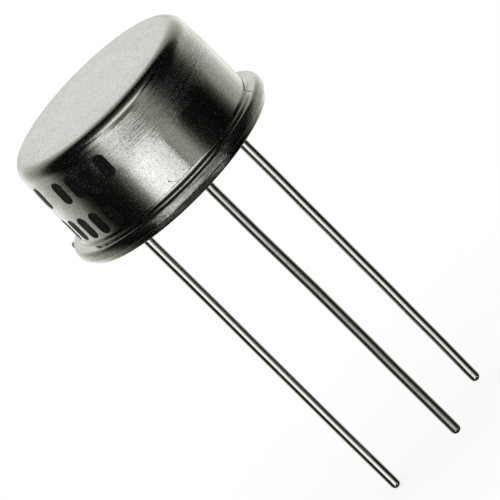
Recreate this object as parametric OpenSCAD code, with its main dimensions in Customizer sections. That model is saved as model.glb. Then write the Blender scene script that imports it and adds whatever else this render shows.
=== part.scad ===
// Three-lead transistor in a round welded metal can, low-profile outline.
// Millimetres. The origin is the centre of the seating plane, which is the
// underside of the header, and +Z runs up the can's axis. The leads hang
// below the seating plane: emitter at -X, base at -Y, collector at +X.

/* [Can] */
// Outer diameter of the can's wall
can_d = 8.4; // [7.8:0.02:8.5]
// Height of the can's top above the seating plane
can_h = 4.57; // [4.1:0.01:6.6]
// Thickness of the can's wall
can_wall = 0.25; // [0.2:0.01:0.35]
// Thickness of the can's top
can_top_t = 0.28; // [0.2:0.01:0.4]
// Outer radius of the shoulder between the wall and the top
shoulder_r = 0.55; // [0.4:0.05:0.9]
// Outer diameter of the can's flange
can_flange_d = 9.36; // [9:0.02:9.4]
// Thickness of the can's flange
can_flange_t = 0.48; // [0.3:0.01:0.6]
// Radius of the flange's upper edge
can_flange_edge_r = 0.16; // [0.05:0.01:0.25]
// Radius of the fillet between the flange and the wall
foot_fillet_r = 0.12; // [0.05:0.01:0.2]

/* [Header] */
// Outer diameter of the header's flange
header_flange_d = 9.1; // [8.8:0.05:9.2]
// Thickness of the header's flange
header_flange_t = 0.26; // [0.2:0.01:0.45]
// Radius of the header flange's lower edge
header_edge_r = 0.12; // [0.05:0.01:0.18]
// Height of the platform inside the can, above the seating plane
platform_h = 1.3; // [1:0.05:1.6]
// Radial gap between the platform and the can's wall
platform_gap = 0.2; // [0.1:0.05:0.3]
// Radius of the platform's upper edge
platform_edge_r = 0.15; // [0.05:0.01:0.2]
// Width of the index tab
tab_w = 0.72; // [0.71:0.01:0.86]
// Length of the index tab beyond the can's flange
tab_l = 0.74; // [0.74:0.01:1.1]
// Radius of the index tab's corners
tab_corner_r = 0.12; // [0.05:0.01:0.3]
// Direction of the index tab, seen from above
tab_angle = 135; // [120:5:150]

/* [Leads] */
// Diameter of the circle through the leads
lead_circle_d = 5.08; // [5:0.01:5.16]
// Diameter of a lead below the seating plane
lead_d = 0.4; // [0.38:0.01:0.48]
// Length of the base and collector leads below the seating plane
lead_l = 13.9; // [12.7:0.1:19]
// Length of the emitter lead below the seating plane
emitter_lead_l = 14.3; // [12.7:0.1:19]
// Thickness of the solder coat on a lead below the seating plane
coat_t = 0.01; // [0.005:0.005:0.02]
// Length over which the solder coat thins out below the seating plane
coat_end_l = 0.15; // [0.1:0.05:0.3]
// Growth of a post's radius from the seating plane to its head
post_swell = 0.03; // [0.02:0.01:0.05]
// Height of an emitter or base post above the platform
post_h = 0.5; // [0.3:0.05:0.8]
// Diameter of the flat head on a post
post_head_d = 0.75; // [0.6:0.05:1]
// Thickness of the flat head on a post
post_head_t = 0.12; // [0.08:0.01:0.2]
// Diameter of the collector lead's flared foot
foot_flare_d = 0.64; // [0.5:0.02:0.7]
// Diameter of the braze ring around the collector lead
braze_d = 1; // [0.8:0.05:1.2]
// Depth of the braze ring
braze_t = 0.15; // [0.1:0.01:0.25]

/* [Glass seals] */
// Diameter of a glass seal
seal_d = 1.5; // [1.3:0.05:1.7]
// Dip of a glass or braze surface between its edges
meniscus = 0.04; // [0.02:0.01:0.06]

/* [Die] */
// Side of the square die
die_w = 0.9; // [0.7:0.05:1.1]
// Thickness of the die
die_t = 0.2; // [0.15:0.01:0.3]
// Thickness of the solder under the die
attach_t = 0.04; // [0.02:0.01:0.06]
// How far the solder runs out around the die
attach_margin = 0.08; // [0.04:0.01:0.15]
// Thickness of the contact metal on the die
contact_t = 0.02; // [0.01:0.005:0.03]
// Bare edge between the contact metal and the die's edge
contact_margin = 0.08; // [0.05:0.01:0.1]
// Width of a contact's bonding bar
bar_w = 0.2; // [0.15:0.01:0.24]
// Width of a contact's finger
finger_w = 0.05; // [0.03:0.005:0.06]
// Gap between neighbouring fingers, and between a finger and the other bar
finger_gap = 0.04; // [0.03:0.005:0.05]

/* [Bond wires] */
// Diameter of a bond wire
wire_d = 0.06; // [0.04:0.005:0.08]
// Rise of a bond wire above the line between its ends
wire_rise = 0.45; // [0.3:0.05:0.6]
// Diameter of the pressed pad at a wire's end
wire_pad_d = 0.14; // [0.1:0.01:0.15]
// Thickness of the pressed pad at a wire's end
wire_pad_t = 0.03; // [0.02:0.005:0.04]

/* [Marking] */
// Thickness of the ink
ink_t = 0.02; // [0.01:0.005:0.03]
// Height of a mark
mark_h = 1.04; // [0.6:0.02:1.2]
// Width of a mark
mark_w = 0.5; // [0.3:0.02:0.6]
// Distance around the wall between neighbouring marks
mark_pitch = 0.8; // [0.7:0.02:0.9]
// Height of the lower row's middle above the seating plane
lower_row_z = 1.52; // [1.5:0.02:1.7]
// Height of the upper row's middle above the seating plane
upper_row_z = 3.22; // [3.1:0.02:3.3]
// Direction of the lower row's last mark, seen from above
lower_row_angle = 217.5; // [190:0.5:260]
// Direction of the upper row's last mark, seen from above
upper_row_angle = 234.5; // [190:0.5:260]

/* [Hidden] */
$fn = 96;
can_r = can_d / 2;
can_bore_r = can_r - can_wall;
can_flange_r = can_flange_d / 2;
header_flange_r = header_flange_d / 2;
platform_r = can_bore_r - platform_gap;
lead_r = lead_d / 2;
neck_r = lead_r - coat_t;
seal_r = seal_d / 2;
braze_r = braze_d / 2;
post_top = platform_h + post_h;
die_top = platform_h + attach_t + die_t;
contact_top = die_top + contact_t;
contact_w = die_w - 2 * contact_margin;
bar_offset = contact_w / 2 - bar_w / 2;
finger_reach = contact_w - 2 * bar_w - finger_gap;
finger_pitch = finger_w + finger_gap;
finger_count = floor((contact_w - finger_w) / finger_pitch) + 1;
emitter_angle = 180;
base_angle = 270;
collector_angle = 0;
mark_step = mark_pitch / can_r * 180 / PI;
lower_row_marks = [0, 1, 2, 3, 4];
upper_row_marks = [0, 1, 2, 3, 5];
cut = 1;

// Radius of the arc that dips by a given depth between two radii
function dip_r(inner, outer, dip) = (pow((outer - inner) / 2, 2) + pow(dip, 2)) / (2 * dip);

// Moves its children to the lead in one direction from the can's axis
module at_lead(angle) {
    rotate(angle) translate([lead_circle_d / 2, 0, 0]) children();
}

// Half section of a disc, rounded at its upper outer edge
module disc_section(r, h, edge_r) {
    square([r - edge_r, h]);
    square([r, h - edge_r]);
    translate([r - edge_r, h - edge_r]) circle(edge_r);
}

// Round plug whose ends dip between the wire in its middle and its edge
module dipped_plug(outer, h) {
    arc_r = dip_r(neck_r, outer, meniscus);
    middle = (neck_r + outer) / 2;
    rotate_extrude() difference() {
        translate([neck_r / 2, 0]) square([outer - neck_r / 2, h]);
        translate([middle, h + arc_r - meniscus]) circle(arc_r);
        translate([middle, meniscus - arc_r]) circle(arc_r);
    }
}

module cap() {
    color("silver") translate([0, 0, header_flange_t]) rotate_extrude() difference() {
        union() {
            disc_section(can_r, can_h - header_flange_t, shoulder_r);
            disc_section(can_flange_r, can_flange_t, can_flange_edge_r);
            difference() {
                square([can_r + foot_fillet_r, can_flange_t + foot_fillet_r]);
                translate([can_r + foot_fillet_r, can_flange_t + foot_fillet_r]) circle(foot_fillet_r);
            }
        }
        translate([0, -cut]) square([can_bore_r, cut]);
        disc_section(can_bore_r, can_h - header_flange_t - can_top_t, shoulder_r - can_wall);
    }
}

// Flat plan of the tab, from inside the flange to its rounded end
module tab_plan() {
    end = can_flange_r + tab_l;
    square_l = end - tab_corner_r;
    translate([0, -tab_w / 2]) square([square_l, tab_w]);
    translate([0, -tab_w / 2 + tab_corner_r]) square([end, tab_w - 2 * tab_corner_r]);
    for (side = [-1, 1])
        translate([square_l, side * (tab_w / 2 - tab_corner_r)]) circle(tab_corner_r);
}

module header() {
    color("lightgray") difference() {
        union() {
            translate([0, 0, header_flange_t]) mirror([0, 0, 1]) rotate_extrude()
                disc_section(header_flange_r, header_flange_t, header_edge_r);
            rotate_extrude() disc_section(platform_r, platform_h, platform_edge_r);
            rotate(tab_angle) linear_extrude(header_flange_t) tab_plan();
        }
        for (angle = [emitter_angle, base_angle])
            at_lead(angle) translate([0, 0, -cut]) cylinder(r = seal_r, h = platform_h + 2 * cut);
        at_lead(collector_angle) translate([0, 0, -cut]) cylinder(r = braze_r, h = braze_t + cut);
    }
}

// Bare wire above the seating plane, a little thicker towards its head
module post() {
    cylinder(r1 = neck_r, r2 = neck_r + post_swell, h = post_top - post_head_t);
}

// Flared end by which the collector lead meets the header
module flared_foot() {
    cylinder(r1 = neck_r, r2 = foot_flare_d / 2, h = braze_t);
}

module glass_seal(angle) {
    color("darkslategray") at_lead(angle) difference() {
        dipped_plug(seal_r, platform_h);
        post();
    }
}

module collector_braze() {
    color("lightslategray") at_lead(collector_angle) difference() {
        dipped_plug(braze_r, braze_t);
        flared_foot();
    }
}

// Coated lead with a round tip, hanging from the seating plane
module hanging_lead(length) {
    straight_l = length - lead_r - coat_end_l;
    translate([0, 0, lead_r - length]) {
        sphere(lead_r);
        cylinder(r = lead_r, h = straight_l);
    }
    translate([0, 0, -coat_end_l]) cylinder(r1 = lead_r, r2 = neck_r, h = coat_end_l);
}

// Lead that passes through a glass seal and ends in a flat head
module sealed_lead(angle, length) {
    color("silver") at_lead(angle) {
        hanging_lead(length);
        post();
        translate([0, 0, post_top - post_head_t]) cylinder(d = post_head_d, h = post_head_t);
    }
}

module collector_lead() {
    color("silver") at_lead(collector_angle) {
        hanging_lead(lead_l);
        flared_foot();
    }
}

module die_attach() {
    side = die_w + 2 * attach_margin;
    color("lightslategray") translate([-side / 2, -side / 2, platform_h]) cube([side, side, attach_t]);
}

module die() {
    color("dimgray") translate([-die_w / 2, -die_w / 2, platform_h + attach_t]) cube([die_w, die_w, die_t]);
}

// Bonding bar along one edge of the die, with every second finger of the comb
module contact_comb(first_finger) {
    color("gainsboro") translate([0, 0, die_top]) {
        translate([-bar_offset - bar_w / 2, -contact_w / 2, 0]) cube([bar_w, contact_w, contact_t]);
        for (i = [first_finger : 2 : finger_count - 1])
            translate([-bar_offset + bar_w / 2, -contact_w / 2 + i * finger_pitch, 0])
                cube([finger_reach, finger_w, contact_t]);
    }
}

module emitter_contact() {
    contact_comb(0);
}

module base_contact() {
    mirror([1, 0, 0]) contact_comb(1);
}

// Round wire from a die contact at start to a post at end, both [x, y, z]
module bond_wire(start, end) {
    run = end - start;
    span = norm([run.x, run.y]);
    chord = norm(run);
    arc_r = (pow(chord / 2, 2) + pow(wire_rise, 2)) / (2 * wire_rise);
    drop = arc_r - wire_rise;
    centre_x = span / 2 + run.z / chord * drop;
    centre_z = run.z / 2 - span / chord * drop;
    wire_r = wire_d / 2;
    reach = arc_r + wire_d;
    color("gainsboro") translate(start) rotate(atan2(run.y, run.x)) {
        intersection() {
            translate([centre_x, 0, centre_z]) rotate([90, 0, 0])
                rotate_extrude() translate([arc_r, 0]) circle(wire_r);
            union() {
                translate([span / 2 - reach, -wire_d, 0]) cube([reach, 2 * wire_d, reach]);
                translate([span / 2, -wire_d, run.z]) cube([reach, 2 * wire_d, reach]);
            }
        }
        cylinder(d = wire_pad_d, h = wire_pad_t);
        translate([span, 0, run.z]) cylinder(d = wire_pad_d, h = wire_pad_t);
    }
}

module emitter_wire() {
    bond_wire([-bar_offset, 0, contact_top], [-lead_circle_d / 2, 0, post_top]);
}

module base_wire() {
    bond_wire([bar_offset, -contact_w / 4, contact_top], [0, -lead_circle_d / 2, post_top]);
}

// Upright mark with round ends, lying across the wall
module mark() {
    half = mark_h / 2 - mark_w / 2;
    translate([can_bore_r, 0, 0]) rotate([90, 0, 90]) linear_extrude(can_wall + cut) {
        translate([-mark_w / 2, -half]) square([mark_w, 2 * half]);
        for (side = [-1, 1]) translate([0, side * half]) circle(mark_w / 2);
    }
}

// Marks counted back from the row's last one, with any place left out as a space
module mark_row(marks, last_angle, height) {
    for (i = marks) rotate(last_angle - i * mark_step) translate([0, 0, height]) mark();
}

module marking_ink() {
    color("black") intersection() {
        difference() {
            cylinder(r = can_r + ink_t, h = can_h - shoulder_r);
            translate([0, 0, -cut]) cylinder(r = can_r, h = can_h + 2 * cut);
        }
        union() {
            mark_row(upper_row_marks, upper_row_angle, upper_row_z);
            mark_row(lower_row_marks, lower_row_angle, lower_row_z);
        }
    }
}

cap();
header();
glass_seal(emitter_angle);  // emitter_seal
glass_seal(base_angle);  // base_seal
sealed_lead(emitter_angle, emitter_lead_l);  // emitter_lead
sealed_lead(base_angle, lead_l);  // base_lead
collector_lead();
collector_braze();
die_attach();
die();
emitter_contact();
base_contact();
emitter_wire();
base_wire();
marking_ink();
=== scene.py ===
import math

import bpy
from mathutils import Matrix, Vector


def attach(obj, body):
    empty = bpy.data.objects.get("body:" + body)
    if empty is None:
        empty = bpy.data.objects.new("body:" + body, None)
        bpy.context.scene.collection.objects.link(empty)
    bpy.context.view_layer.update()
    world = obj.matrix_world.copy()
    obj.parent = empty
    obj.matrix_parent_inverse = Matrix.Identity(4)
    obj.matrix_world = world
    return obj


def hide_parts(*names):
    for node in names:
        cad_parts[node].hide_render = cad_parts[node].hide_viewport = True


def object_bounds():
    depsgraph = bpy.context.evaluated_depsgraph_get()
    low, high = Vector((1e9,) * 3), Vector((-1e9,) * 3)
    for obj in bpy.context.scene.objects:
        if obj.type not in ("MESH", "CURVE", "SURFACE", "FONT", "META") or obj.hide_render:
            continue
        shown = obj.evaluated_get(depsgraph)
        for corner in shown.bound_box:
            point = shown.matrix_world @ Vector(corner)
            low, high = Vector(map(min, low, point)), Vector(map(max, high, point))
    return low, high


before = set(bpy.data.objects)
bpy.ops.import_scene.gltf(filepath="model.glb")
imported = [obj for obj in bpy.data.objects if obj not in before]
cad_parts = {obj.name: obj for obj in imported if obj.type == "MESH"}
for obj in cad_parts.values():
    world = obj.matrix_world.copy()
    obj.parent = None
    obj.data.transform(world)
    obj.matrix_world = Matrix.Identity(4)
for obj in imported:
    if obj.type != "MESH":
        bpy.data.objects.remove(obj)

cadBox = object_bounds()
mm = 0.001


# Camera

camera = {
    "azimuth": -12.18,  # degrees round the can, 0 looks along +Y
    "elevation": 15.21,
    "roll": 45.375,  # the can leans to the upper left by this much
    "distance": 400.6,  # mm
    "lens": 782.6,
    "aimRight": -0.097,  # mm from the seating plane's centre, before the roll
    "aimUp": -3.845,
}


def viewAxes():
    az, el = math.radians(camera["azimuth"]), math.radians(camera["elevation"])
    back = Vector((math.sin(az) * math.cos(el), -math.cos(az) * math.cos(el), math.sin(el)))
    right = Vector((math.cos(az), math.sin(az), 0.0))
    return right, back.cross(right), back


def makeCamera():
    right, up, back = viewAxes()
    roll = math.radians(camera["roll"])
    across = right * math.cos(roll) - up * math.sin(roll)
    upward = right * math.sin(roll) + up * math.cos(roll)
    aim = (right * camera["aimRight"] + up * camera["aimUp"]) * mm
    place = aim + back * camera["distance"] * mm
    data = bpy.data.cameras.new("camera")
    data.lens = camera["lens"]
    data.sensor_width = 36.0
    data.clip_start = 0.01
    data.clip_end = 10.0
    cam = bpy.data.objects.new("camera", data)
    bpy.context.scene.collection.objects.link(cam)
    turn = Matrix((across, upward, back)).transposed()
    cam.matrix_world = Matrix.Translation(place) @ turn.to_4x4()
    bpy.context.scene.camera = cam


bpy.context.scene.view_settings.view_transform = "Standard"
makeCamera()
print("camera placed")


# Nodes

def addNode(tree, kind, **settings):
    node = tree.nodes.new(kind)
    for key, value in settings.items():
        if key in node.inputs:
            node.inputs[key].default_value = value
        else:
            setattr(node, key, value)
    return node


def join(tree, source, target):
    tree.links.new(source, target)


def maths(tree, operation, first, second=0.0, third=0.0, clamp=False):
    node = tree.nodes.new("ShaderNodeMath")
    node.operation = operation
    node.use_clamp = clamp
    for socket, value in zip(node.inputs, (first, second, third)):
        if isinstance(value, (int, float)):
            socket.default_value = value
        else:
            tree.links.new(value, socket)
    return node.outputs[0]


def rampOf(tree, source, stops):
    node = tree.nodes.new("ShaderNodeValToRGB")
    elements = node.color_ramp.elements
    for i, (place, level) in enumerate(stops):
        spot = elements[i] if i < 2 else elements.new(place)
        spot.position = place
        spot.color = (level, level, level, 1.0)
    tree.links.new(source, node.inputs[0])
    return node.outputs[0]


def mixColours(tree, share, first, second, blend="MIX"):
    node = tree.nodes.new("ShaderNodeMix")
    node.data_type = "RGBA"
    node.blend_type = blend
    for i, value in ((0, share), (6, first), (7, second)):
        if isinstance(value, (int, float, tuple)):
            node.inputs[i].default_value = value
        else:
            tree.links.new(value, node.inputs[i])
    return node.outputs[2]


def rangeOf(tree, source, fromLow, fromHigh, toLow=0.0, toHigh=1.0, smooth=False):
    node = tree.nodes.new("ShaderNodeMapRange")
    node.interpolation_type = "SMOOTHSTEP" if smooth else "LINEAR"
    tree.links.new(source, node.inputs[0])
    for i, value in enumerate((fromLow, fromHigh, toLow, toHigh)):
        if isinstance(value, (int, float)):
            node.inputs[i + 1].default_value = value
        else:
            tree.links.new(value, node.inputs[i + 1])
    return node.outputs[0]


# Studio: white surround open to the front and behind, dark flags at both sides, a soft box above the front

studio = {
    "warmTint": (1.0, 0.995, 0.78, 1.0),  # the darker the light, the warmer
    "whiteTint": (1.0, 1.0, 0.97, 1.0),
    "peak": 1.5,  # the ramps hold their levels as shares of this
    # light level by direction round the can in degrees, 0 is the front
    "frontSpan": 120.0,
    "frontLow": [
        (-56, 0.006), (-50, 0.015), (-44, 0.06), (-37, 0.22), (-30, 0.92), (-21, 1.36),
        (-10, 1.36), (0, 1.16), (9, 1.04), (13.6, 0.95), (14.8, 0.13), (16.4, 0.13),
        (17.6, 0.37), (30, 0.34), (36, 0.14), (43, 0.02), (50, 0.006),
    ],
    "frontLevel": [
        (-56, 0.006), (-47, 0.06), (-38, 0.50), (-29, 0.98), (-20, 0.78), (-12, 0.34),
        (-4, 0.16), (6, 0.14), (14, 0.13), (22, 0.24), (30, 0.32), (38, 0.23), (47, 0.04), (56, 0.006),
    ],
    "frontRise": (-13.5, -5.5),  # heights in degrees between which the low levels give way to the others
    "frontFade": (12.0, 27.0),  # the front is dark above these
    "frontUnder": (-40.0, -21.0),  # and darker below these, by this share
    "underLeft": 0.04,
    "sides": (58.0, 72.0),  # turns between which the front gives way to what is behind
    # the same behind, by how far round from the front
    "behind": [
        (84, 0.004), (92, 0.03), (100, 0.12), (108, 0.34), (116, 0.42), (124, 0.52),
        (132, 0.65), (140, 0.78), (148, 0.94), (156, 1.08), (176, 1.24),
    ],
    # share of the light behind that is left at a height above the horizon, in degrees
    "behindByHeight": [
        (-90, 0.06), (-50, 0.08), (-38, 0.35), (-28, 0.85), (-20, 1.0), (0, 0.95), (10, 0.82), (15, 0.75),
        (25, 0.74), (35, 0.70), (45, 0.62), (55, 0.52), (65, 0.38), (75, 0.24), (85, 0.07), (90, 0.03),
    ],
    "behindSlope": 0.48,  # the flags reach further round the higher they go
    "slopeFrom": -15.0,
    "rimShade": 0.34,  # taken off low down right behind, where the object's edges look
    "rimAround": (156.0, 173.0),
    "rimHeight": (13.0, 5.0),
    # two strips low in front that glint in the flange's lower edge
    "glintLevel": 1.4,
    "glintAround": ((23.0, 28.0), (43.0, 50.0)),
    "glintHeight": ((-47.0, -44.0), (-36.0, -33.0)),
    "boxLevel": 1.25,
    "boxAcross": (0.75, 1.15),
    # soft box by how far ahead it lies for each step up
    "aheadSpan": 4.0,
    "boxAhead": [
        (0.0, 0.0), (0.40, 0.015), (0.70, 0.08), (1.0, 0.36), (1.35, 0.86), (1.7, 0.86),
        (2.1, 0.50), (2.8, 0.15), (4.0, 0.0),
    ],
}


# Light in front of the can: dark flags, the bright centre and its two edges, and the glints below
def frontLight(tree, around, height):
    peak, span = studio["peak"], studio["frontSpan"]
    share = maths(tree, "MULTIPLY_ADD", around, 1 / span, 0.5, clamp=True)
    low, level = (
        rampOf(tree, share, [(a / span + 0.5, v / peak) for a, v in studio[key]])
        for key in ("frontLow", "frontLevel")
    )
    rise = rangeOf(tree, height, *studio["frontRise"], 0.0, 1.0, True)
    fade = rangeOf(tree, height, *studio["frontFade"], 1.0, 0.0, True)
    under = rangeOf(tree, height, *studio["frontUnder"], studio["underLeft"], 1.0, True)
    front = maths(tree, "MULTIPLY", mixColours(tree, rise, low, level), fade)
    front = maths(tree, "MULTIPLY", front, under)
    far = maths(tree, "ABSOLUTE", around)
    aroundFrom, aroundTo = studio["glintAround"]
    heightFrom, heightTo = studio["glintHeight"]
    glint = maths(tree, "MULTIPLY", rangeOf(tree, far, *aroundFrom), rangeOf(tree, far, *aroundTo, 1.0, 0.0))
    glint = maths(tree, "MULTIPLY", glint, rangeOf(tree, height, *heightFrom))
    glint = maths(tree, "MULTIPLY", glint, rangeOf(tree, height, *heightTo, studio["glintLevel"] / peak, 0.0))
    return maths(tree, "MAXIMUM", front, glint)


# Light behind the can, shaped round and up, and shaded where the can's rims look
def behindLight(tree, far, height):
    peak = studio["peak"]
    above = maths(tree, "MAXIMUM", maths(tree, "ADD", height, -studio["slopeFrom"]), 0.0)
    lift = maths(tree, "MULTIPLY", above, studio["behindSlope"])
    farShare = maths(tree, "MULTIPLY", maths(tree, "SUBTRACT", far, lift), 1 / 180, clamp=True)
    behind = rampOf(tree, farShare, [(a / 180, v / peak) for a, v in studio["behind"]])
    heightShare = maths(tree, "MULTIPLY_ADD", height, 1 / 180, 0.5)
    left = rampOf(tree, heightShare, [(a / 180 + 0.5, v) for a, v in studio["behindByHeight"]])
    behind = maths(tree, "MULTIPLY", behind, left)
    low = rangeOf(tree, height, *studio["rimHeight"], 0.0, studio["rimShade"], True)
    rim = maths(tree, "MULTIPLY", rangeOf(tree, far, *studio["rimAround"], 0.0, 1.0, True), low)
    return maths(tree, "MULTIPLY", behind, maths(tree, "SUBTRACT", 1.0, rim))


# Soft box above the front, placed by where the ray stands once it has risen by one
def softBox(tree, x, towards, z):
    span = studio["aheadSpan"]
    up = maths(tree, "MAXIMUM", z, 0.001)
    across = maths(tree, "ABSOLUTE", maths(tree, "DIVIDE", x, up))
    ahead = maths(tree, "MULTIPLY", maths(tree, "DIVIDE", towards, up), 1 / span, clamp=True)
    boxAcross = rangeOf(tree, across, *studio["boxAcross"], studio["boxLevel"], 0.0, True)
    boxAhead = rampOf(tree, ahead, [(a / span, v) for a, v in studio["boxAhead"]])
    above = maths(tree, "GREATER_THAN", z, 0.02)
    return maths(tree, "MULTIPLY", boxAcross, maths(tree, "MULTIPLY", boxAhead, above))


def buildStudio():
    world = bpy.data.worlds.new("studio")
    world.use_nodes = True
    bpy.context.scene.world = world
    tree = world.node_tree
    tree.nodes.clear()
    coords = addNode(tree, "ShaderNodeTexCoord")
    turn = addNode(tree, "ShaderNodeMapping", vector_type="VECTOR")
    turn.inputs["Rotation"].default_value = (0.0, 0.0, math.radians(-camera["azimuth"]))
    join(tree, coords.outputs["Generated"], turn.inputs["Vector"])
    parts = addNode(tree, "ShaderNodeSeparateXYZ")
    join(tree, turn.outputs["Vector"], parts.inputs[0])
    x, y, z = parts.outputs
    towards = maths(tree, "MULTIPLY", y, -1.0)
    around = maths(tree, "MULTIPLY", maths(tree, "ARCTAN2", x, towards), 180 / math.pi)
    height = maths(tree, "ARCSINE", maths(tree, "MINIMUM", maths(tree, "MAXIMUM", z, -1.0), 1.0))
    height = maths(tree, "MULTIPLY", height, 180 / math.pi)
    far = maths(tree, "ABSOLUTE", around)
    side = rangeOf(tree, far, *studio["sides"])
    surround = mixColours(tree, side, frontLight(tree, around, height), behindLight(tree, far, height))
    surround = maths(tree, "MULTIPLY", surround, studio["peak"])
    seen = maths(tree, "ADD", surround, softBox(tree, x, towards, z))
    tintShare = maths(tree, "MULTIPLY", seen, 1.0, clamp=True)
    tint = mixColours(tree, tintShare, studio["warmTint"], studio["whiteTint"])
    tinted = mixColours(tree, 1.0, seen, tint, "MULTIPLY")

    rays = addNode(tree, "ShaderNodeLightPath")
    white = (1.0, 1.0, 1.0, 1.0)
    whole = mixColours(tree, rays.outputs["Is Glossy Ray"], white, tinted)
    surface = addNode(tree, "ShaderNodeBackground")
    join(tree, whole, surface.inputs["Color"])
    out = addNode(tree, "ShaderNodeOutputWorld")
    join(tree, surface.outputs[0], out.inputs["Surface"])


buildStudio()


floor = {
    "size": 400.0,
    "shadowShare": 0.3,
    "shadowReach": (14.0, 26.0),  # the shadow fades between these and beyond them the floor is plain white
}


def buildFloor():
    bpy.ops.object.select_all(action="DESELECT")
    low = min(corner.z for corner in cadBox)
    bpy.ops.mesh.primitive_plane_add(size=floor["size"] * mm, location=(0.0, 0.0, low))
    plane = bpy.context.active_object
    plane.name = plane.data.name = "floor"
    bpy.ops.object.transform_apply(location=True, rotation=True, scale=True)
    mat = bpy.data.materials.new("paleFloor")
    mat.use_nodes = True
    tree = mat.node_tree
    tree.nodes.clear()
    paper = addNode(tree, "ShaderNodeBsdfDiffuse", Color=(0.98, 0.98, 0.98, 1.0))
    white = addNode(tree, "ShaderNodeEmission", Color=(1.0, 1.0, 1.0, 1.0))
    rays = addNode(tree, "ShaderNodeLightPath")
    mirrored = maths(tree, "MAXIMUM", rays.outputs["Is Glossy Ray"], rays.outputs["Is Transmission Ray"])
    lit = maths(tree, "MAXIMUM", rays.outputs["Is Camera Ray"], mirrored)
    coords = addNode(tree, "ShaderNodeTexCoord")
    distance = addNode(tree, "ShaderNodeVectorMath", operation="LENGTH")
    join(tree, coords.outputs["Object"], distance.inputs[0])
    nearest, furthest = (reach * mm for reach in floor["shadowReach"])
    near = rangeOf(tree, distance.outputs["Value"], nearest, furthest, floor["shadowShare"], 0.0, True)
    share = maths(tree, "MULTIPLY", lit, maths(tree, "SUBTRACT", 1.0, near))
    mix = addNode(tree, "ShaderNodeMixShader")
    join(tree, share, mix.inputs[0])
    join(tree, paper.outputs[0], mix.inputs[1])
    join(tree, white.outputs[0], mix.inputs[2])
    clear = addNode(tree, "ShaderNodeBsdfTransparent")
    side = addNode(tree, "ShaderNodeNewGeometry")
    whole = addNode(tree, "ShaderNodeMixShader")
    join(tree, side.outputs["Backfacing"], whole.inputs[0])
    join(tree, mix.outputs[0], whole.inputs[1])
    join(tree, clear.outputs[0], whole.inputs[2])
    out = addNode(tree, "ShaderNodeOutputMaterial")
    join(tree, whole.outputs[0], out.inputs["Surface"])
    plane.data.materials.append(mat)
    plane.visible_glossy = False


buildFloor()
print("studio and floor ready")


# Modelling helpers

def deselectAll():
    if bpy.context.mode != "OBJECT":
        bpy.ops.object.mode_set(mode="OBJECT")
    bpy.ops.object.select_all(action="DESELECT")


def arc(centre, radius, fromDeg, toDeg, steps):
    points = []
    for i in range(steps + 1):
        a = math.radians(fromDeg + (toDeg - fromDeg) * i / steps)
        points.append((centre[0] + radius * math.cos(a), centre[1] + radius * math.sin(a)))
    return points


def settle(piece, name):
    piece.name = name
    piece.data.name = name
    bpy.ops.object.transform_apply(location=True, rotation=True, scale=True)


def addPiece(piece, nodeName, mat):
    piece.data.materials.clear()
    piece.data.materials.append(mat)
    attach(piece, "root")
    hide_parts(nodeName)


def applyBoolean(piece, tool, operation):
    deselectAll()
    piece.select_set(True)
    bpy.context.view_layer.objects.active = piece
    mod = piece.modifiers.new("cut", "BOOLEAN")
    mod.operation = operation
    mod.solver = "EXACT"
    mod.object = tool
    bpy.ops.object.modifier_apply(modifier=mod.name)
    bpy.data.objects.remove(tool, do_unlink=True)


# Half section drawn point by point as (radius, height) in mm, then spun about an upright axis
def spinSection(name, section, axis=(0.0, 0.0), turns=192):
    deselectAll()
    startR, startZ = section[0]
    bpy.ops.mesh.primitive_plane_add(size=mm, location=((axis[0] + startR) * mm, axis[1] * mm, startZ * mm))
    piece = bpy.context.active_object
    settle(piece, name)
    bpy.ops.object.mode_set(mode="EDIT")
    bpy.ops.mesh.select_mode(type="VERT")
    bpy.ops.mesh.select_all(action="SELECT")
    bpy.ops.mesh.merge(type="CENTER")
    for here, there in zip(section, section[1:]):
        step = ((there[0] - here[0]) * mm, 0.0, (there[1] - here[1]) * mm)
        bpy.ops.mesh.extrude_region_move(TRANSFORM_OT_translate={"value": step})
    bpy.ops.mesh.select_all(action="SELECT")
    centre = (axis[0] * mm, axis[1] * mm, 0.0)
    bpy.ops.mesh.spin(steps=turns, angle=2 * math.pi, center=centre, axis=(0.0, 0.0, 1.0))
    bpy.ops.mesh.select_all(action="SELECT")
    bpy.ops.mesh.remove_doubles(threshold=1e-7)
    bpy.ops.mesh.normals_make_consistent(inside=False)
    bpy.ops.object.mode_set(mode="OBJECT")
    bpy.ops.object.shade_smooth_by_angle(angle=math.radians(40.0))
    return piece


# Materials

def newMaterial(name, **settings):
    mat = bpy.data.materials.new(name)
    mat.use_nodes = True
    tree = mat.node_tree
    shader = next(n for n in tree.nodes if n.type == "BSDF_PRINCIPLED")
    for key, value in settings.items():
        shader.inputs[key.replace("_", " ")].default_value = value
    return mat, tree, shader


def mmCoords(tree):
    coords = addNode(tree, "ShaderNodeTexCoord")
    scale = addNode(tree, "ShaderNodeVectorMath", operation="SCALE")
    scale.inputs["Scale"].default_value = 1000.0
    join(tree, coords.outputs["Object"], scale.inputs[0])
    return scale.outputs[0]


def noiseOf(tree, vector, scale, detail=2.0, rough=0.5):
    node = addNode(tree, "ShaderNodeTexNoise", Detail=detail, Roughness=rough)
    if isinstance(scale, (int, float)):
        node.inputs["Scale"].default_value = scale
    else:
        join(tree, scale, node.inputs["Scale"])
    join(tree, vector, node.inputs["Vector"])
    return node.outputs[0]


def shiftOf(tree, vector, shift):
    node = addNode(tree, "ShaderNodeMapping")
    node.inputs["Location"].default_value = shift
    join(tree, vector, node.inputs["Vector"])
    return node.outputs[0]


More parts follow.
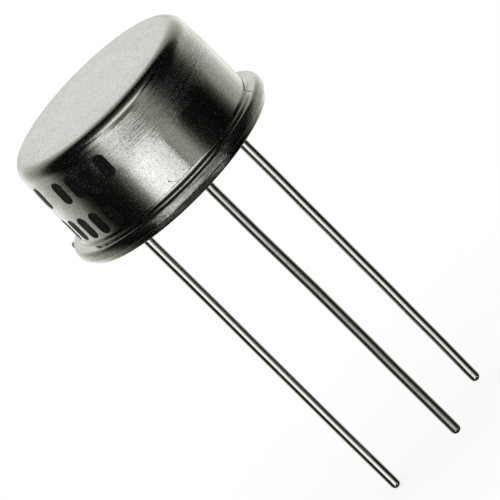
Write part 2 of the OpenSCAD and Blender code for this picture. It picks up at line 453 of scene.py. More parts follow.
def makeGroup(name, inputs, outputs):
    group = bpy.data.node_groups.new(name, "ShaderNodeTree")
    for label, value in inputs.items():
        kind = "NodeSocketFloat" if value is not None else "NodeSocketVector"
        socket = group.interface.new_socket(name=label, in_out="INPUT", socket_type=kind)
        if value is not None:
            socket.default_value = value
    for label in outputs:
        group.interface.new_socket(name=label, in_out="OUTPUT", socket_type="NodeSocketFloat")
    return group, addNode(group, "NodeGroupInput"), addNode(group, "NodeGroupOutput")


def useGroup(tree, group, vector, **values):
    node = addNode(tree, "ShaderNodeGroup")
    node.node_tree = group
    join(tree, vector, node.inputs["Vector"])
    for key, value in values.items():
        node.inputs[key].default_value = value
    return node.outputs


# Fine pitted grain of plated metal: its height, and a mask of small dark specks
def makeGrainGroup():
    inputs = {"Vector": None, "Scale": 12.0, "Speck From": 0.66}
    group, start, end = makeGroup("metalGrain", inputs, ["Height", "Specks"])
    vector, scale, speckFrom = start.outputs[:3]
    join(group, noiseOf(group, vector, scale, 3.0, 0.6), end.inputs["Height"])
    moved = shiftOf(group, vector, (3.7, -1.9, 5.3))
    fine = noiseOf(group, moved, maths(group, "MULTIPLY", scale, 0.8), 1.0, 0.5)
    upTo = maths(group, "ADD", speckFrom, 0.07)
    join(group, rangeOf(group, fine, speckFrom, upTo, 0.0, 1.0, True), end.inputs["Specks"])
    return group


# Draw lines: noise stretched along one way, the stretch given by three scales
def makeLinesGroup():
    inputs = {"Vector": None, "Across X": 1.0, "Across Y": 1.0, "Across Z": 14.0}
    group, start, end = makeGroup("drawLines", inputs, ["Height"])
    scales = addNode(group, "ShaderNodeCombineXYZ")
    for i in range(3):
        join(group, start.outputs[i + 1], scales.inputs[i])
    stretched = addNode(group, "ShaderNodeVectorMath", operation="MULTIPLY")
    join(group, start.outputs["Vector"], stretched.inputs[0])
    join(group, scales.outputs[0], stretched.inputs[1])
    join(group, noiseOf(group, stretched.outputs[0], 1.0, 4.0, 0.62), end.inputs["Height"])
    return group


# Slow patches of tarnish and handling, as a tone between 0 and 1
def makeToneGroup():
    group, start, end = makeGroup("handledTone", {"Vector": None, "Scale": 0.8}, ["Tone"])
    vector, scale = start.outputs[:2]
    broad = noiseOf(group, vector, scale, 3.0, 0.55)
    join(group, rangeOf(group, broad, 0.3, 0.7, 0.0, 1.0, True), end.inputs["Tone"])
    return group


grainGroup, linesGroup, toneGroup = makeGrainGroup(), makeLinesGroup(), makeToneGroup()


def grainOf(tree, vector, scale, speckFrom):
    return useGroup(tree, grainGroup, vector, Scale=scale, **{"Speck From": speckFrom})


def linesOf(tree, vector, *scales):
    values = {"Across " + axis: scale for axis, scale in zip("XYZ", scales)}
    return useGroup(tree, linesGroup, vector, **values)["Height"]


def toneOf(tree, vector, scale):
    return useGroup(tree, toneGroup, vector, Scale=scale)["Tone"]


def opaque(colour):
    return (*colour, 1.0)


def addBump(tree, shader, height, micrometres=1.0):
    bump = addNode(tree, "ShaderNodeBump")
    bump.inputs["Distance"].default_value = micrometres * 1e-6
    join(tree, height, bump.inputs["Height"])
    join(tree, bump.outputs[0], shader.inputs["Normal"])


def total(tree, *terms):
    whole = terms[0]
    for term in terms[1:]:
        whole = maths(tree, "ADD", whole, term)
    return whole


def times(tree, *factors):
    whole = factors[0]
    for factor in factors[1:]:
        whole = maths(tree, "MULTIPLY", whole, factor)
    return whole


canFinish = {
    "colour": (0.70, 0.70, 0.69),
    # the flange's side is painted this much darker: painted shade on the same plate as the wall
    "flangePaintedShade": 0.72,
    "topZ": (4.44, 4.54),  # heights between which the top's finish sets in
    "flangeZ": (0.58, 0.68),  # and between which the flange's ends
    "bandLow": (2.3, 3.1),  # the wall was scuffed as it was drawn, from here
    "bandHigh": (3.8, 4.05),  # up to here
    "bandWaver": 0.7,
    "grainScale": (15.0, 0.64),  # grain in each mm, and how rare its specks are
    "pointScale": (17.0, 0.56),
    "coarseScale": (2.2, 2.2, 9.0),
    "speckR": (2.0, 3.7),  # radius over which the top's dark specks grow common
    "specksOnWall": 0.6,
    "streaks": 1.1,  # how much the scuffs darken and lighten the wall
    "roughness": {"wall": 0.06, "top": 0.09, "flange": 0.07, "tone": 0.02, "marks": 0.3, "points": 0.10},
    "scuffRoughness": (0.03, 0.16),
    "bump": {"grain": 2.4, "scuffs": 13.0, "mottle": 20.0, "marks": -6.0, "specks": -0.8},  # micrometres
    # weld mark: turn round the can in degrees and height in mm, then the half width of its line
    "creaseFrom": (-34.5, 0.867),
    "creaseTo": (-12.2, 0.95),
    "creaseFade": (-4.0, 2.0),
    "creaseReach": 0.03,
    "creaseR": (4.28, 4.31),
    "tickFrom": (-32.6, 4.19),  # turn and radius of the mark's end
    "tickTo": (-37.8, 4.56),
    "tickReach": 0.5,
    "tickTop": (0.88, 0.90),
    # turn, height and size of each
    "nicks": [(252.4, 1.14, 0.034), (253.0, 1.10, 0.022), (263.0, 2.62, 0.02), (296.0, 1.5, 0.02)],
}


def lineMask(tree, value, place, reach):
    gap = maths(tree, "ABSOLUTE", maths(tree, "SUBTRACT", value, place))
    return rangeOf(tree, gap, reach * 0.4, reach, 1.0, 0.0, True)


# Crease that the weld left at the foot of the wall, and the tick across the flange that ends it
def weldMark(tree, turn, radius, z):
    f = canFinish
    (turnA, zA), (turnB, zB) = f["creaseFrom"], f["creaseTo"]
    crease = lineMask(tree, z, rangeOf(tree, turn, turnA, turnB, zA, zB), f["creaseReach"])
    ends = times(tree, rangeOf(tree, turn, turnA - 0.4, turnA), rangeOf(tree, turn, *f["creaseFade"], 1.0, 0.0))
    crease = times(tree, crease, ends, rangeOf(tree, radius, *f["creaseR"], 1.0, 0.0))
    (tickA, rA), (tickB, rB) = f["tickFrom"], f["tickTo"]
    tick = lineMask(tree, turn, rangeOf(tree, radius, rA, rB, tickA, tickB), f["tickReach"])
    inner = rangeOf(tree, radius, rA + 0.01, rA + 0.03)
    outer = rangeOf(tree, radius, rB - 0.03, rB + 0.02, 1.0, 0.0)
    tick = times(tree, tick, inner, outer, rangeOf(tree, z, *f["tickTop"], 1.0, 0.0))
    return maths(tree, "MAXIMUM", crease, tick)


def nickMark(tree, where, turn, height, size):
    a = math.radians(turn)
    gap = addNode(tree, "ShaderNodeVectorMath", operation="DISTANCE")
    join(tree, where, gap.inputs[0])
    gap.inputs[1].default_value = (cap["wallR"] * math.cos(a), cap["wallR"] * math.sin(a), height)
    return rangeOf(tree, gap.outputs["Value"], size * 0.5, size, 1.0, 0.0, True)


# Nickel plate: matt on the top, drawn and scuffed on the wall, coined on the flange, whose side is painted darker
# as shade
def makeCanNickel():
    f = canFinish
    mat, tree, shader = newMaterial("canNickel", Metallic=1.0)
    where = mmCoords(tree)
    parts = addNode(tree, "ShaderNodeSeparateXYZ")
    join(tree, where, parts.inputs[0])
    x, y, z = parts.outputs
    turn = times(tree, maths(tree, "ARCTAN2", y, x), 180 / math.pi)
    radius = maths(tree, "SQRT", total(tree, times(tree, x, x), times(tree, y, y)))
    tone = toneOf(tree, where, 0.7)
    grain = grainOf(tree, where, *f["grainScale"])
    points = grainOf(tree, shiftOf(tree, where, (1.3, 4.4, -2.1)), *f["pointScale"])["Specks"]
    lines = linesOf(tree, where)
    coarse = linesOf(tree, shiftOf(tree, where, (7.1, 2.3, 1.7)), *f["coarseScale"])

    edge = times(tree, maths(tree, "SUBTRACT", tone, 0.5), f["bandWaver"])
    band = rangeOf(tree, maths(tree, "ADD", z, edge), *f["bandLow"], 0.0, 1.0, True)
    band = times(tree, band, rangeOf(tree, z, *f["bandHigh"], 1.0, 0.0, True))
    top = rangeOf(tree, z, *f["topZ"], 0.0, 1.0, True)
    flange = rangeOf(tree, z, *f["flangeZ"], 1.0, 0.0, True)
    wall = maths(tree, "SUBTRACT", 1.0, maths(tree, "MAXIMUM", top, flange))
    marks = weldMark(tree, turn, radius, z)
    for nick in f["nicks"]:
        marks = maths(tree, "MAXIMUM", marks, nickMark(tree, where, *nick))

    outer = rangeOf(tree, radius, *f["speckR"], 0.35, 1.0)
    speckShare = maths(tree, "MAXIMUM", times(tree, top, outer), times(tree, wall, f["specksOnWall"]))
    specks = times(tree, grain["Specks"], speckShare)
    shade = maths(tree, "SUBTRACT", 1.0, times(tree, specks, 0.55))
    # Painted shade: the flange's side is darkened in colour
    shade = times(tree, shade, rangeOf(tree, flange, 0.0, 1.0, 1.0, f["flangePaintedShade"]))
    shade = times(tree, shade, rangeOf(tree, tone, 0.0, 1.0, 0.95, 1.03))
    shade = times(tree, shade, rangeOf(tree, grain["Height"], 0.3, 0.7, 0.72, 1.2))
    streaks = maths(tree, "MULTIPLY", maths(tree, "SUBTRACT", lines, 0.5), band)
    shade = times(tree, shade, maths(tree, "MULTIPLY_ADD", streaks, f["streaks"], 1.0))
    # Painted shade: the weld crease, its tick and the nicks are darkened in colour as shade in their hollows;
    # their dents themselves come from the bump
    shade = times(tree, shade, maths(tree, "SUBTRACT", 1.0, times(tree, marks, 0.92)))
    join(tree, mixColours(tree, 1.0, opaque(f["colour"]), shade, "MULTIPLY"), shader.inputs["Base Color"])

    r = f["roughness"]
    rough = total(tree, r["wall"], times(tree, band, rangeOf(tree, lines, 0.3, 0.7, *f["scuffRoughness"])))
    rough = total(tree, rough, times(tree, top, r["top"]), times(tree, flange, r["flange"]))
    rough = total(tree, rough, times(tree, tone, r["tone"]), times(tree, marks, r["marks"]))
    rough = total(tree, rough, times(tree, points, wall, r["points"]))
    join(tree, rough, shader.inputs["Roughness"])

    b = f["bump"]
    height = times(tree, grain["Height"], rangeOf(tree, top, 0.0, 1.0, b["grain"], b["grain"] * 1.2))
    height = total(tree, height, times(tree, lines, band, b["scuffs"]), times(tree, coarse, flange, b["mottle"]))
    height = total(tree, height, times(tree, marks, b["marks"]), times(tree, specks, b["specks"]))
    addBump(tree, shader, height)
    return mat


# Cap

cap = {
    "wallR": 4.2,
    "height": 4.57,
    "wall": 0.25,
    "topT": 0.28,
    "drawIn": 0.046,  # the wall leans in by this much between these two heights
    "drawFrom": 2.75,
    "drawTo": 3.84,
    "drawEase": (0.45, 0.10),  # shares of the lean that ease it in and out
    "flatTopR": 1.4,
    "shoulderR": 0.55,
    "crownFrom": 2.9,  # radius at which the top starts to fall away
    "crownDrop": 0.014,
    "flangeR": 4.68,
    "flangeLow": 0.26,
    "flangeTop": 0.725,
    "flatLean": 10.0,  # degrees that the flange's upper face falls outwards
    "flangeLowR": 0.08,  # roundings of the flange's lower and upper edge
    "flangeTopR": 0.17,
    "flangeBulge": (12.0, 8.0),  # degrees that the flange's side leans in at its bottom and top
    "footHeight": 0.915,
    "foot": [(0.02, 0, 22), (0.075, 22, 28), (0.13, 28, 80)],  # flare down to the flange: length, tilt from and to
}


# Share of the draw reached at a height: an even slope that eases in slowly and out quickly
def drawShare(z):
    t = min(1.0, max(0.0, (z - cap["drawFrom"]) / (cap["drawTo"] - cap["drawFrom"])))
    easeIn, easeOut = cap["drawEase"]
    slope = 1.0 / (1.0 - easeIn / 2 - easeOut / 2)
    if t < easeIn:
        return slope * t * t / (2 * easeIn)
    if t < 1.0 - easeOut:
        return slope * (t - easeIn / 2)
    return 1.0 - slope * (1.0 - t) ** 2 / (2 * easeOut)


# The flange's side from its lower face to its upper one: three arcs that meet smoothly
def flangeSide():
    c = cap
    lowTilt, topTilt = (math.radians(a) for a in c["flangeBulge"])
    low = c["flangeLow"] + c["flangeLowR"] * (1 - math.sin(lowTilt))
    high = c["flangeTop"] - c["flangeTopR"] * (1 - math.sin(topTilt))
    sideR = (high - low) / (math.sin(lowTilt) + math.sin(topTilt))
    centre = (c["flangeR"] - sideR, low + sideR * math.sin(lowTilt))
    side = arc(centre, sideR, -c["flangeBulge"][0], c["flangeBulge"][1], 8)
    lowCentre = (side[0][0] - c["flangeLowR"] * math.cos(lowTilt), c["flangeLow"] + c["flangeLowR"])
    topCentre = (side[-1][0] - c["flangeTopR"] * math.cos(topTilt), c["flangeTop"] - c["flangeTopR"])
    lower = arc(lowCentre, c["flangeLowR"], -90, -c["flangeBulge"][0], 6)[:-1]
    upper = arc(topCentre, c["flangeTopR"], c["flangeBulge"][1], 90 - c["flatLean"], 12)[1:]
    return lower + side + upper


# Flare from the wall's foot down to the flange's upper face
def footFlare():
    steps = 6
    points = [(cap["wallR"], cap["footHeight"])]
    for length, fromTilt, toTilt in cap["foot"]:
        for i in range(steps):
            tilt = math.radians(fromTilt + (toTilt - fromTilt) * (i + 0.5) / steps)
            r, z = points[-1]
            points.append((r + length / steps * math.sin(tilt), z - length / steps * math.cos(tilt)))
    return [(r, max(z, cap["flangeTop"])) for r, z in points]


def capSection():
    c = cap
    bore = c["wallR"] - c["wall"]
    top = c["height"]
    points = [(bore, c["flangeLow"])] + flangeSide() + footFlare()[::-1]
    foot = c["footHeight"]
    shoulderZ = top - c["crownDrop"] - c["shoulderR"]
    wallSteps, crownSteps = 40, 8
    for i in range(1, wallSteps + 1):
        z = foot + (shoulderZ - foot) * i / wallSteps
        points.append((c["wallR"] - c["drawIn"] * drawShare(z), z))
    wallTopR = c["wallR"] - c["drawIn"]
    points += arc((wallTopR - c["shoulderR"], shoulderZ), c["shoulderR"], 0, 87, 20)[1:]
    edgeR, edgeZ = points[-1]
    for i in range(1, crownSteps + 1):
        share = i / crownSteps
        r = edgeR + (c["crownFrom"] - edgeR) * share
        points.append((r, edgeZ + (top - edgeZ) * (1 - (1 - share) ** 2)))
    points += [(c["flatTopR"], top), (0.0, top), (0.0, top - c["topT"]), (3.0, top - c["topT"])]
    inner = c["shoulderR"] - c["wall"]
    points += arc((bore - inner, top - c["topT"] - inner), inner, 90, 0, 6)
    points += [(bore, c["flangeLow"])]
    return points


capPiece = spinSection("cap_shell", capSection())
addPiece(capPiece, "cap", makeCanNickel())
print("cap modelled")


# Header

leadCircleR = 2.54
leadTurns = {"emitter": 180.0, "base": 270.0, "collector": 0.0}

header = {
    "flangeR": 4.55,
    "flangeT": 0.26,
    "edgeR": 0.12,
    "edgeLean": 18.0,  # degrees that the flange's side leans in towards its lower edge
    "platformR": 3.75,
    "platformH": 1.3,
    "platformEdgeR": 0.15,
    "platformFootR": 0.06,
    "tabW": 0.72,
    "tabReach": 5.42,  # from the can's axis to the tab's end
    "tabCornerR": 0.27,
    "tabEdgeR": 0.07,
    "tabTurn": 135.0,
    "tabInset": 0.5,  # how far the tab's root reaches into the flange
    "sealR": 0.75,
    "brazeR": 0.5,
    "brazeDeep": 0.15,
    "holeBreak": 0.025,  # the holes' edges are eased by this much
    "cutLow": -0.5,  # the tools that cut the holes run from here to here
    "cutHigh": 2.0,
}


def leadPlace(name):
    a = math.radians(leadTurns[name])
    return leadCircleR * math.cos(a), leadCircleR * math.sin(a)


def headerSection():
    h = header
    lean = math.radians(h["edgeLean"])
    edgeTop = h["edgeR"] * (1 - math.sin(lean))
    edgeR = h["flangeR"] - math.tan(lean) * (h["flangeT"] - edgeTop)
    centre = (edgeR - h["edgeR"] * math.cos(lean), h["edgeR"])
    points = [(0.0, 0.0), (2.0, 0.0), (centre[0], 0.0)]
    points += arc(centre, h["edgeR"], -90, -h["edgeLean"], 8)[1:]
    points += [(h["flangeR"], h["flangeT"])]
    edge, foot = h["platformEdgeR"], h["platformFootR"]
    points += [(h["platformR"] + foot, h["flangeT"])]
    points += arc((h["platformR"] + foot, h["flangeT"] + foot), foot, 270, 180, 4)[1:]
    points += arc((h["platformR"] - edge, h["platformH"] - edge), edge, 0, 90, 6)
    points += [(0.0, h["platformH"])]
    return points


def makeTab():
    h = header
    deselectAll()
    inner = h["flangeR"] - h["tabInset"]
    long = h["tabReach"] - inner
    middle = ((inner + long / 2) * mm, 0.0, h["flangeT"] / 2 * mm)
    bpy.ops.mesh.primitive_cube_add(size=mm, location=middle)
    tab = bpy.context.active_object
    tab.scale = (long, h["tabW"], h["flangeT"])
    settle(tab, "tab")
    bpy.ops.object.mode_set(mode="EDIT")
    bpy.ops.mesh.select_all(action="DESELECT")
    bpy.ops.object.mode_set(mode="OBJECT")
    tiny = 1e-6
    end = h["tabReach"] * mm - tiny
    for edge in tab.data.edges:
        first, second = (tab.data.vertices[i].co for i in edge.vertices)
        edge.select = first.x > end and second.x > end and abs(first.z - second.z) > tiny
    bpy.ops.object.mode_set(mode="EDIT")
    bpy.ops.mesh.select_mode(type="EDGE")
    bpy.ops.mesh.bevel(offset=h["tabCornerR"] * mm, segments=6, affect="EDGES")
    bpy.ops.mesh.select_all(action="DESELECT")
    bpy.ops.mesh.select_mode(type="FACE")
    bpy.ops.object.mode_set(mode="OBJECT")
    for face in tab.data.polygons:
        face.select = abs(face.normal.z) > 0.9
    bpy.ops.object.mode_set(mode="EDIT")
    bpy.ops.mesh.region_to_loop()
    bpy.ops.mesh.bevel(offset=h["tabEdgeR"] * mm, segments=3, affect="EDGES")
    bpy.ops.mesh.select_all(action="SELECT")
    bpy.ops.object.mode_set(mode="OBJECT")
    tab.rotation_euler = (0.0, 0.0, math.radians(h["tabTurn"]))
    settle(tab, "tab")
    return tab


# Round cutter that also eases the edges where it leaves the header
def holeTool(name, radius, high):
    h = header
    wide = radius + h["holeBreak"]
    section = [(0.0, h["cutLow"]), (wide, h["cutLow"]), (wide, 0.0), (radius, h["holeBreak"])]
    if high > h["platformH"]:
        section += [(radius, h["platformH"] - h["holeBreak"]), (wide, h["platformH"]), (wide, high)]
    else:
        section += [(radius, high)]
    section += [(0.0, high)]
    return spinSection("hole", section, leadPlace(name), 64)


headerPiece = spinSection("header_stamping", headerSection())
applyBoolean(headerPiece, makeTab(), "UNION")
for name in ("emitter", "base"):
    applyBoolean(headerPiece, holeTool(name, header["sealR"], header["cutHigh"]), "DIFFERENCE")
applyBoolean(headerPiece, holeTool("collector", header["brazeR"], header["brazeDeep"]), "DIFFERENCE")
bpy.ops.object.shade_smooth_by_angle(angle=math.radians(30))


headerFinish = {
    "colour": (0.68, 0.675, 0.64),
    "scaleColour": (0.34, 0.29, 0.22),  # thin oxide that firing leaves around the glass
    "scaleReach": 0.22,
    "roughness": 0.16,
    # the tab's colour is painted paler and the tab made less metallic: painted light, so that it reads as a lit
    # pale sliver; it is rougher too
    "tabPaintedPale": (0.78, 0.775, 0.75),
    "tabRoughness": 0.3,
    "tabMetallic": 0.85,
    "tabFrom": (4.57, 4.6),
    "bump": {"grain": 2.4, "lines": 2.0},
}


# Nickel plate with a dull halo around each glass seal, and the tab painted paler as light
def makeHeaderNickel():
    f = headerFinish
    mat, tree, shader = newMaterial("headerNickel", Metallic=1.0)
    where = mmCoords(tree)
    tone = toneOf(tree, where, 0.9)
    grain = grainOf(tree, where, 10.0, 0.64)
    lines = linesOf(tree, where, 1.4, 1.4, 10.0)
    flat = addNode(tree, "ShaderNodeVectorMath", operation="MULTIPLY")
    join(tree, where, flat.inputs[0])
    flat.inputs[1].default_value = (1.0, 1.0, 0.0)
    sealR = header["sealR"]
    halo = 0.0
    for name in ("emitter", "base"):
        gap = addNode(tree, "ShaderNodeVectorMath", operation="DISTANCE")
        join(tree, flat.outputs[0], gap.inputs[0])
        gap.inputs[1].default_value = (*leadPlace(name), 0.0)
        reach = rangeOf(tree, gap.outputs["Value"], sealR, sealR + f["scaleReach"], 1.0, 0.0, True)
        halo = maths(tree, "MAXIMUM", halo, reach)
    halo = times(tree, halo, rangeOf(tree, grain["Height"], 0.25, 0.75, 0.35, 0.95))
    radius = addNode(tree, "ShaderNodeVectorMath", operation="LENGTH")
    join(tree, flat.outputs[0], radius.inputs[0])
    tabMask = rangeOf(tree, radius.outputs["Value"], *f["tabFrom"])

    clean = maths(tree, "SUBTRACT", 1.0, times(tree, grain["Specks"], 0.35))
    shade = times(tree, rangeOf(tree, tone, 0.0, 1.0, 0.90, 1.04), clean)
    base = mixColours(tree, 1.0, opaque(f["colour"]), shade, "MULTIPLY")
    base = mixColours(tree, halo, base, opaque(f["scaleColour"]))
    # Painted light: the tab takes a paler colour and less metal
    join(tree, mixColours(tree, tabMask, base, opaque(f["tabPaintedPale"])), shader.inputs["Base Color"])
    metallic = maths(tree, "MULTIPLY_ADD", tabMask, f["tabMetallic"] - 1.0, 1.0)
    join(tree, metallic, shader.inputs["Metallic"])
    tabMask = times(tree, tabMask, f["tabRoughness"])
    rough = total(tree, f["roughness"], times(tree, tone, 0.08), times(tree, halo, 0.14), tabMask)
    join(tree, rough, shader.inputs["Roughness"])
    b = f["bump"]
    addBump(tree, shader, total(tree, times(tree, grain["Height"], b["grain"]), times(tree, lines, b["lines"])))
    return mat


addPiece(headerPiece, "header", makeHeaderNickel())
print("header modelled")


# Leads

lead = {
    "r": 0.2,
    "neckR": 0.19,
    "length": {"emitter": 14.3, "base": 13.9, "collector": 13.9},
    "coatEnd": 0.15,
    "swell": 0.03,
    "headR": 0.375,
    "headT": 0.12,
    "headEdgeR": 0.03,
    "headBreak": 0.02,
    "postTop": 1.8,
    "footR": 0.32,
    "rows": 48,
    # slight bends as the camera sees them: height and shift to the right
    "sway": {
        "emitter": [(0, 0), (-0.8, 0.01), (-4, 0.01), (-7, -0.004), (-11, -0.012), (-14.3, 0.0)],
        "base": [
            (0, 0), (-0.8, -0.02), (-2.5, -0.018), (-6.5, 0.017), (-8.5, 0.013), (-10.5, -0.003), (-13.9, 0),
        ],
        "collector": [
            (0, 0), (-0.7, 0.041), (-2.2, 0.046), (-5, 0.027), (-8, 0.009), (-11, -0.021), (-13.9, -0.055),
        ],
    },
}


def hangingSection(length):
    c = lead
    tip = c["r"] - length
    points = arc((0.0, tip), c["r"], -90, 0, 8)
    points[0] = (0.0, -length)
    for i in range(1, c["rows"] + 1):
        points.append((c["r"], tip + (-c["coatEnd"] - tip) * i / c["rows"]))
    return points + [(c["neckR"], 0.0)]


def postSection():
    c = lead
    under = c["postTop"] - c["headT"]
    edge = c["headEdgeR"]
    points = [(c["neckR"] + c["swell"], under), (c["headR"] - c["headBreak"], under)]
    points += arc((c["headR"] - edge, under + edge), edge, -60, 0, 2)
    points += arc((c["headR"] - edge, c["postTop"] - edge), edge, 0, 90, 3)
    return points + [(0.0, c["postTop"])]


def footSection():
    return [(lead["footR"], header["brazeDeep"]), (0.0, header["brazeDeep"])]


def swayAt(stops, z):
    for (fromZ, fromShift), (toZ, toShift) in zip(stops, stops[1:]):
        if toZ <= z <= fromZ:
            t = (z - fromZ) / (toZ - fromZ)
            return fromShift + (toShift - fromShift) * t * t * (3 - 2 * t)
    return 0.0


leadFinish = {
    "emitter": {"colour": (0.80, 0.80, 0.775), "dullAndPaintedShade": 0.0, "roughness": 0.10},
    # the base lead's darker colour and larger share are painted shade on the same solder as the others
    "base": {"colour": (0.72, 0.72, 0.69), "dullAndPaintedShade": 0.5, "roughness": 0.17},
    "collector": {"colour": (0.80, 0.80, 0.775), "dullAndPaintedShade": 0.12, "roughness": 0.10},
}


# Dipped solder, drawn smooth along the wire, and rougher and darker in colour further from the can, the darkening
# being painted shade
def makeLeadSolder(name):
    f = leadFinish[name]
    mat, tree, shader = newMaterial("leadSolder_" + name, Metallic=1.0)
    where = mmCoords(tree)
    parts = addNode(tree, "ShaderNodeSeparateXYZ")
    join(tree, where, parts.inputs[0])
    z = parts.outputs[2]
    tone = toneOf(tree, where, 1.3)
    grain = grainOf(tree, where, 16.0, 0.68)
    lines = linesOf(tree, where, 22.0, 22.0, 0.5)
    down = rangeOf(tree, z, -0.6, -6.5, 0.25, 1.0, True)
    # Painted shade, with added roughness: darker further from the can, by each lead's share
    dullAndPaintedShade = times(tree, down, f["dullAndPaintedShade"], rangeOf(tree, tone, 0.0, 1.0, 0.8, 1.0))
    shade = maths(tree, "SUBTRACT", 1.0, dullAndPaintedShade)
    shade = times(tree, shade, rangeOf(tree, lines, 0.35, 0.65, 0.88, 1.04))
    shade = times(tree, shade, maths(tree, "SUBTRACT", 1.0, times(tree, grain["Specks"], 0.45)))
    join(tree, mixColours(tree, 1.0, opaque(f["colour"]), shade, "MULTIPLY"), shader.inputs["Base Color"])
    rough = total(tree, f["roughness"], times(tree, tone, 0.05), times(tree, dullAndPaintedShade, 0.12))
    join(tree, total(tree, rough, times(tree, grain["Specks"], 0.15)), shader.inputs["Roughness"])
    height = total(tree, times(tree, lines, 1.4), times(tree, grain["Height"], 0.8), times(tree, tone, 1.5))
    addBump(tree, shader, height)
    return mat


def swayLead(piece, stops):
    across = viewAxes()[0]
    for vertex in piece.data.vertices:
        vertex.co += across * swayAt(stops, vertex.co.z / mm) * mm


for name in leadTurns:
    upper = footSection() if name == "collector" else postSection()
    section = hangingSection(lead["length"][name]) + upper
    piece = spinSection(name + "_wire_lead", section, leadPlace(name), 40)
    swayLead(piece, lead["sway"][name])
    addPiece(piece, name + "_lead", makeLeadSolder(name))
print("leads modelled")


# Glass seals and braze ring

seal = {
    "dip": 0.045,  # of the glass between the wire and the header
    "brazeDip": 0.04,
    "deep": (0.006, 0.011, 0.013),
    "pale": (0.022, 0.034, 0.036),
    "bubble": (0.10, 0.13, 0.13),
    "brazeColours": ((0.52, 0.49, 0.41), (0.72, 0.70, 0.64)),
    "brazePit": (0.25, 0.22, 0.17),
}


def dip(r, inner, outer, deep):
    share = (r - inner) / (outer - inner)
    return deep * 4 * share * (1 - share)


def sealSection():
    c, h = lead, header
    under = c["postTop"] - c["headT"]
    innerTop = c["neckR"] + c["swell"] * h["platformH"] / under
    steps = [i / 12 for i in range(13)]
    points = []
    for share in steps:
        r = c["neckR"] + (h["sealR"] - c["neckR"]) * share
        points.append((r, dip(r, c["neckR"], h["sealR"], seal["dip"]) + h["holeBreak"] * share))
    for share in reversed(steps):
        r = innerTop + (h["sealR"] - innerTop) * share
        points.append((r, h["platformH"] - dip(r, innerTop, h["sealR"], seal["dip"]) - h["holeBreak"] * share))
    return points + [points[0]]


def brazeSection():
    c, h = lead, header
    points = []
    for i in range(11):
        share = i / 10
        r = c["neckR"] + (h["brazeR"] - c["neckR"]) * share
        points.append((r, dip(r, c["neckR"], h["brazeR"], seal["brazeDip"]) + h["holeBreak"] * share))
    return points + [(h["brazeR"], h["brazeDeep"]), (c["footR"], h["brazeDeep"]), points[0]]


# Dark fired glass with fine bubbles near its surface
def makeSealGlass():
    mat, tree, shader = newMaterial("sealGlass", IOR=1.51)
    where = mmCoords(tree)
    tone = toneOf(tree, where, 2.6)
    specks = grainOf(tree, where, 15.0, 0.63)["Specks"]
    base = mixColours(tree, tone, opaque(seal["deep"]), opaque(seal["pale"]))
    base = mixColours(tree, times(tree, specks, 0.6), base, opaque(seal["bubble"]))
    join(tree, base, shader.inputs["Base Color"])
    rough = total(tree, 0.05, times(tree, tone, 0.05), times(tree, specks, 0.2))
    join(tree, rough, shader.inputs["Roughness"])
    addBump(tree, shader, total(tree, times(tree, tone, 5.0), times(tree, specks, -1.5)))
    return mat


# Pale silver braze with a slightly yellow, rippled skin
def makeBrazeAlloy():
    mat, tree, shader = newMaterial("brazeAlloy", Metallic=1.0)
    where = mmCoords(tree)
    tone = toneOf(tree, where, 3.5)
    grain = grainOf(tree, where, 14.0, 0.66)
    base = mixColours(tree, tone, *(opaque(colour) for colour in seal["brazeColours"]))
    base = mixColours(tree, times(tree, grain["Specks"], 0.5), base, opaque(seal["brazePit"]))
    join(tree, base, shader.inputs["Base Color"])
    join(tree, total(tree, 0.20, times(tree, tone, 0.16)), shader.inputs["Roughness"])
    addBump(tree, shader, total(tree, times(tree, tone, 5.0), times(tree, grain["Height"], 1.6)))
    return mat


glassMat, brazeMat = makeSealGlass(), makeBrazeAlloy()
for name in ("emitter", "base"):
    piece = spinSection(name + "_glass", sealSection(), leadPlace(name), 64)
    addPiece(piece, name + "_seal", glassMat)
brazePiece = spinSection("collector_braze_ring", brazeSection(), leadPlace("collector"), 64)
addPiece(brazePiece, "collector_braze", brazeMat)
print("seals modelled")


# Ink marks

marks = {
    "tall": 1.04,
    "wide": 0.5,
    "pitch": 0.8,
    "rows": [(1.52, 217.5, (0, 1, 2, 3, 4)), (3.22, 234.5, (0, 1, 2, 3, 5))],  # height, last mark's turn, places
    "standOff": 0.05,  # of the flat mark before it is laid on the wall
    "clear": 0.001,  # between the wall and the ink
    "thick": 0.008,
    "corner": 0.98,  # share of half the width that rounds the ends
    "cuts": (8, 20),  # strips that let the mark follow the wall, across and up
    "colour": (0.004, 0.004, 0.0045),
    "worn": (0.035, 0.035, 0.034),
    "gloss": 0.12,
}


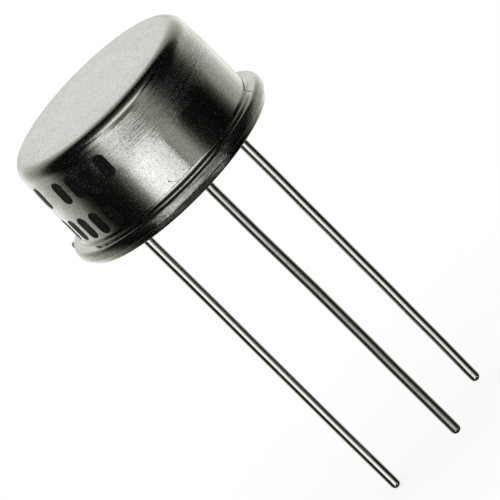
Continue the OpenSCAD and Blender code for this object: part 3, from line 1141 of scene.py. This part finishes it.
def makeMark(turn, height):
    m = marks
    deselectAll()
    bpy.ops.mesh.primitive_plane_add(size=mm, rotation=(math.pi / 2, 0.0, math.pi / 2))
    piece = bpy.context.active_object
    settle(piece, "mark")
    piece.scale = (1.0, m["wide"], m["tall"])
    settle(piece, "mark")
    bpy.ops.object.mode_set(mode="EDIT")
    bpy.ops.mesh.select_mode(type="VERT")
    bpy.ops.mesh.select_all(action="SELECT")
    bpy.ops.mesh.bevel(offset=m["wide"] / 2 * m["corner"] * mm, segments=8, affect="VERTICES")
    acrossCuts, upCuts = m["cuts"]
    for i in range(1, acrossCuts):
        across = m["wide"] * (i / acrossCuts - 0.5) * mm
        bpy.ops.mesh.select_all(action="SELECT")
        bpy.ops.mesh.bisect(plane_co=(0.0, across, 0.0), plane_no=(0.0, 1.0, 0.0))
    for i in range(1, upCuts):
        upward = m["tall"] * (i / upCuts - 0.5) * mm
        bpy.ops.mesh.select_all(action="SELECT")
        bpy.ops.mesh.bisect(plane_co=(0.0, 0.0, upward), plane_no=(0.0, 0.0, 1.0))
    bpy.ops.object.mode_set(mode="OBJECT")
    piece.location = ((cap["wallR"] + m["standOff"]) * mm, 0.0, height * mm)
    settle(piece, "mark")
    piece.rotation_euler = (0.0, 0.0, math.radians(turn))
    settle(piece, "mark")
    wrap = piece.modifiers.new("wrap", "SHRINKWRAP")
    wrap.target = capPiece
    wrap.wrap_method = "NEAREST_SURFACEPOINT"
    wrap.wrap_mode = "OUTSIDE_SURFACE"
    wrap.offset = m["clear"] * mm
    bpy.ops.object.modifier_apply(modifier="wrap")
    thick = piece.modifiers.new("thick", "SOLIDIFY")
    thick.thickness = m["thick"] * mm
    thick.offset = 1.0
    bpy.ops.object.modifier_apply(modifier="thick")
    return piece


def makeMarks():
    step = math.degrees(marks["pitch"] / cap["wallR"])
    made = [makeMark(turn - i * step, height) for height, turn, places in marks["rows"] for i in places]
    deselectAll()
    for piece in made:
        piece.select_set(True)
    bpy.context.view_layer.objects.active = made[0]
    bpy.ops.object.join()
    whole = bpy.context.active_object
    settle(whole, "ink_marks")
    return whole


# Black stamping ink, a little thin where the grain of the can stands up
def makeBlackInk():
    mat, tree, shader = newMaterial("blackInk")
    shader.inputs["Specular IOR Level"].default_value = marks["gloss"]
    where = mmCoords(tree)
    tone = toneOf(tree, where, 2.2)
    grain = grainOf(tree, where, 13.0, 0.62)
    thin = times(tree, grain["Specks"], rangeOf(tree, tone, 0.0, 1.0, 0.3, 1.0))
    base = mixColours(tree, thin, opaque(marks["colour"]), opaque(marks["worn"]))
    join(tree, base, shader.inputs["Base Color"])
    join(tree, total(tree, 0.42, times(tree, tone, 0.15)), shader.inputs["Roughness"])
    addBump(tree, shader, times(tree, grain["Height"], 1.5))
    return mat


addPiece(makeMarks(), "marking_ink", makeBlackInk())
print("marks modelled")


# Inside the can: the die, its contacts and its wires keep their own shapes

inside = {
    "silicon": ((0.075, 0.08, 0.10), (0.12, 0.105, 0.13)),
    "siliconSpeck": (0.2, 0.2, 0.21),
    "contact": (0.82, 0.82, 0.83),
    "wire": (0.85, 0.85, 0.86),
}


def finishNode(nodeName, mat):
    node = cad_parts[nodeName]
    node.data.materials.clear()
    node.data.materials.append(mat)


# Lapped silicon with a faint tint where its oxide varies
def makeSilicon():
    mat, tree, shader = newMaterial("silicon", Metallic=0.75)
    where = mmCoords(tree)
    tone = toneOf(tree, where, 2.4)
    grain = grainOf(tree, where, 24.0, 0.7)
    base = mixColours(tree, tone, *(opaque(colour) for colour in inside["silicon"]))
    base = mixColours(tree, grain["Specks"], base, opaque(inside["siliconSpeck"]))
    join(tree, base, shader.inputs["Base Color"])
    join(tree, total(tree, 0.10, times(tree, grain["Height"], 0.08)), shader.inputs["Roughness"])
    addBump(tree, shader, grain["Height"], 0.2)
    return mat


# Aluminium as evaporated on the die or drawn into wire, with fine lines across it
def makeAluminium(name, colour, roughness, across):
    mat, tree, shader = newMaterial(name, Metallic=1.0)
    where = mmCoords(tree)
    grain = grainOf(tree, where, 30.0, 0.66)
    lines = linesOf(tree, where, across, across, across / 2)
    clean = maths(tree, "SUBTRACT", 1.0, times(tree, grain["Specks"], 0.3))
    shade = times(tree, rangeOf(tree, lines, 0.3, 0.7, 0.9, 1.05), clean)
    join(tree, mixColours(tree, 1.0, opaque(colour), shade, "MULTIPLY"), shader.inputs["Base Color"])
    join(tree, total(tree, roughness, times(tree, lines, 0.1)), shader.inputs["Roughness"])
    addBump(tree, shader, total(tree, grain["Height"], lines), 0.3)
    return mat


contactMat = makeAluminium("contactAluminium", inside["contact"], 0.22, 24.0)
wireMat = makeAluminium("bondAluminium", inside["wire"], 0.16, 40.0)
for name in ("emitter", "base"):
    finishNode(name + "_contact", contactMat)
    finishNode(name + "_wire", wireMat)
finishNode("die", makeSilicon())
finishNode("die_attach", brazeMat)
print("inside finished")
